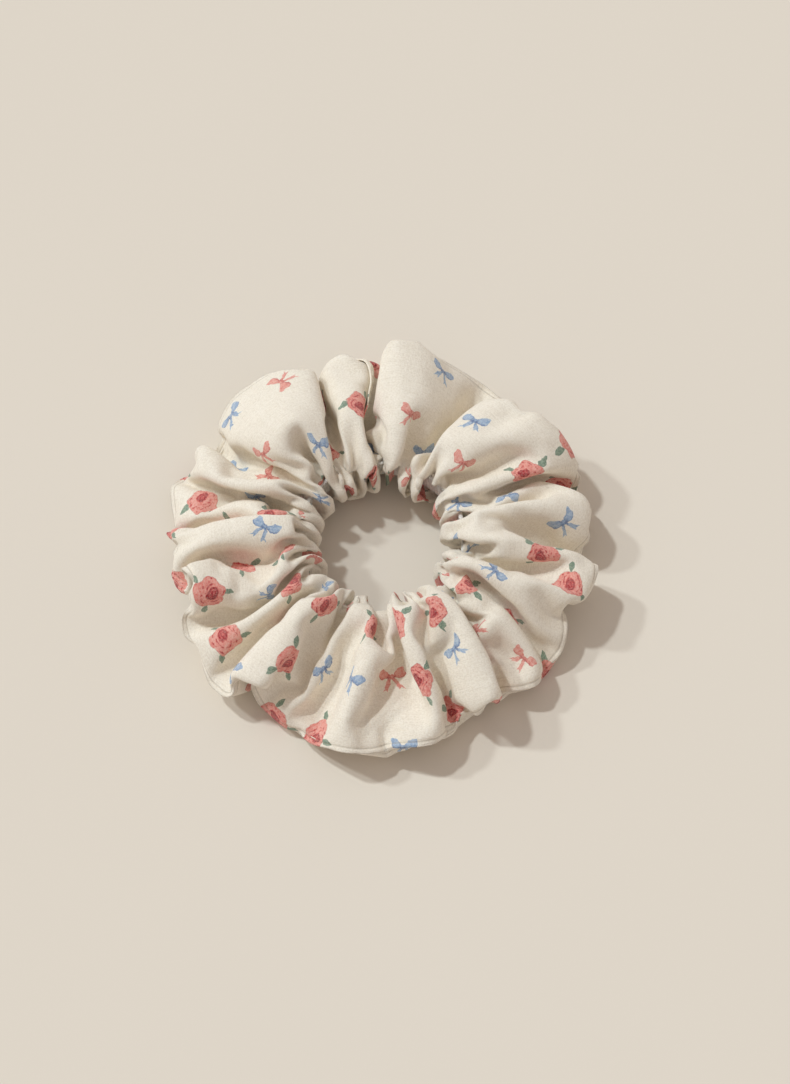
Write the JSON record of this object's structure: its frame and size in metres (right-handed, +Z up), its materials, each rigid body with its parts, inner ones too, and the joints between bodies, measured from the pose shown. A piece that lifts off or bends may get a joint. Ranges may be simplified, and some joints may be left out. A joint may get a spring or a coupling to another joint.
{
  "type": "hair scrunchie",
  "caption": "Gathered tube of printed cloth on a ring of flat elastic, lying flat; the ring stretches open to take a ponytail and springs back.",
  "frame": {"origin": "centre of the hole, in the plane that the scrunchie lies on", "axes": "+Z up through the hole, -Y towards the person looking at it, +Y through the closing seam"},
  "size_m": [0.1096, 0.1096, 0.025],
  "materials": {
    "printed_cotton": "matte crepe-like plain weave, off-white, with small coral roses, green leaves and coral and blue bows",
    "braided_elastic": "flat white braid over rubber cores",
    "sewing_thread": "off-white spun polyester"
  },
  "bodies": {
    "near_half": {"cover_near": "printed_cotton", "elastic_near": "braided_elastic", "rim_seam_needle_thread_near": "sewing_thread", "rim_seam_bobbin_thread_near": "sewing_thread"},
    "far_half": {"cover_far_left": "printed_cotton", "cover_far_right": "printed_cotton", "elastic_far_left": "braided_elastic", "elastic_far_right": "braided_elastic", "rim_seam_needle_thread_far_left": "sewing_thread", "rim_seam_needle_thread_far_right": "sewing_thread", "rim_seam_bobbin_thread_far_left": "sewing_thread", "rim_seam_bobbin_thread_far_right": "sewing_thread", "elastic_join_needle_thread": "sewing_thread", "elastic_join_bobbin_thread": "sewing_thread", "closing_seam_needle_thread": "sewing_thread", "closing_seam_bobbin_thread": "sewing_thread"}
  },
  "joints": [
    {"name": "stretch", "type": "slide", "parent": "near_half", "child": "far_half", "axis": [0, 1, 0], "range_m": [0, 0.06], "stiffness_N_per_m": 45}
  ]
}
